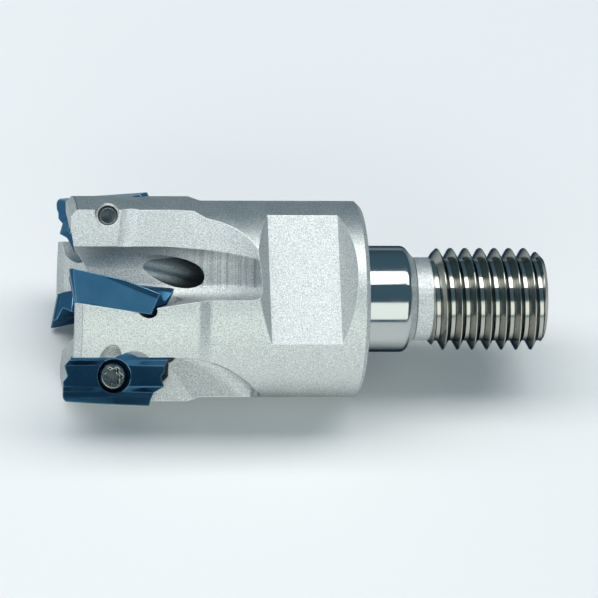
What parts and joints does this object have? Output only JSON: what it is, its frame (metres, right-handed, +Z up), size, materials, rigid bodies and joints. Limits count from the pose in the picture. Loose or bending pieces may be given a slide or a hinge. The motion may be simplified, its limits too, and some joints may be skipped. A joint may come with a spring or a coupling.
{
  "type": "screw-in shoulder milling cutter",
  "caption": "Screw-in shoulder milling cutter: a fluted steel head with clamped cutting inserts, wrench flats, a centring pilot and a threaded shank.",
  "frame": {"origin": "middle of the ring face that seats on the tool holder, on the tool's axis", "axes": "+X along the tool's axis towards the threaded shank, +Z up with the tool lying on its side, +Y completes a right-handed frame"},
  "size_m": [0.057, 0.0233, 0.0231],
  "materials": {
    "cutter_body": "fine blasted tool steel, turned and ground at the pilot and thread",
    "cutting_insert": "glossy blue-grey coating on cemented carbide",
    "insert_screw": "dark burnished steel"
  },
  "bodies": {
    "root": {"cutter_body": "cutter_body", "cutting_insert_1": "cutting_insert", "cutting_insert_2": "cutting_insert", "cutting_insert_3": "cutting_insert", "cutting_insert_4": "cutting_insert", "insert_screw_1": "insert_screw", "insert_screw_2": "insert_screw", "insert_screw_3": "insert_screw", "insert_screw_4": "insert_screw"}
  },
  "joints": []
}
